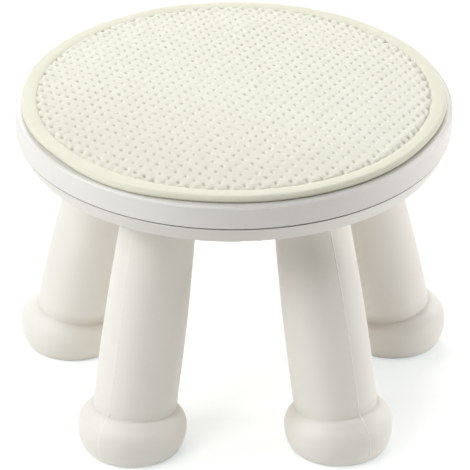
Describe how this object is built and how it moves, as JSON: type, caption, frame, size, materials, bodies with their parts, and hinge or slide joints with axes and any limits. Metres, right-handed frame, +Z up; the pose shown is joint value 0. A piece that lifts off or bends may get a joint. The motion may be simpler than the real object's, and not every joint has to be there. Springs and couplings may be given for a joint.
{
  "type": "shower stool",
  "caption": "Low round shower stool: a hard two-part seat on splayed hollow legs with bulbous feet, and a lift-off knitted seat mat.",
  "frame": {"origin": "on the floor, under the centre of the seat", "axes": "+Z up through the seat's centre, +Y to the back, +X to the right"},
  "size_m": [0.2842, 0.28, 0.2061],
  "materials": {
    "seat_plastic": "satin",
    "leg_plastic": "satin",
    "pad_rubber": "matte",
    "screw_steel": "satin",
    "knit": "matte",
    "binding_fabric": "satin",
    "foam": "matte",
    "backing": "matte",
    "loop_tape": "matte",
    "hook_tape": "matte"
  },
  "bodies": {
    "seat": {"seat_shell": "seat_plastic", "base_pan": "seat_plastic", "pan_screws": "screw_steel", "hook_tabs": "hook_tape"},
    "mat": {"mat_knit_top": "knit", "mat_foam": "foam", "mat_binding": "binding_fabric", "mat_backing": "backing", "loop_tabs": "loop_tape"},
    "leg_front_left": {"leg_front_left": "leg_plastic", "foot_pad_front_left": "pad_rubber"},
    "leg_front_right": {"leg_front_right": "leg_plastic", "foot_pad_front_right": "pad_rubber"},
    "leg_rear_left": {"leg_rear_left": "leg_plastic", "foot_pad_rear_left": "pad_rubber"},
    "leg_rear_right": {"leg_rear_right": "leg_plastic", "foot_pad_rear_right": "pad_rubber"}
  },
  "joints": [
    {"name": "mat_lift", "type": "slide", "parent": "seat", "child": "mat", "axis": [0, 0, 1], "range_m": [0, 0.06]},
    {"name": "leg_front_left_pull", "type": "slide", "parent": "seat", "child": "leg_front_left", "axis": [-0.1306, -0.1831, -0.9744], "range_m": [0, 0.03]},
    {"name": "leg_front_right_pull", "type": "slide", "parent": "seat", "child": "leg_front_right", "axis": [0.1306, -0.1831, -0.9744], "range_m": [0, 0.03]},
    {"name": "leg_rear_left_pull", "type": "slide", "parent": "seat", "child": "leg_rear_left", "axis": [-0.2114, 0.0769, -0.9744], "range_m": [0, 0.03]},
    {"name": "leg_rear_right_pull", "type": "slide", "parent": "seat", "child": "leg_rear_right", "axis": [0.2114, 0.0769, -0.9744], "range_m": [0, 0.03]}
  ]
}
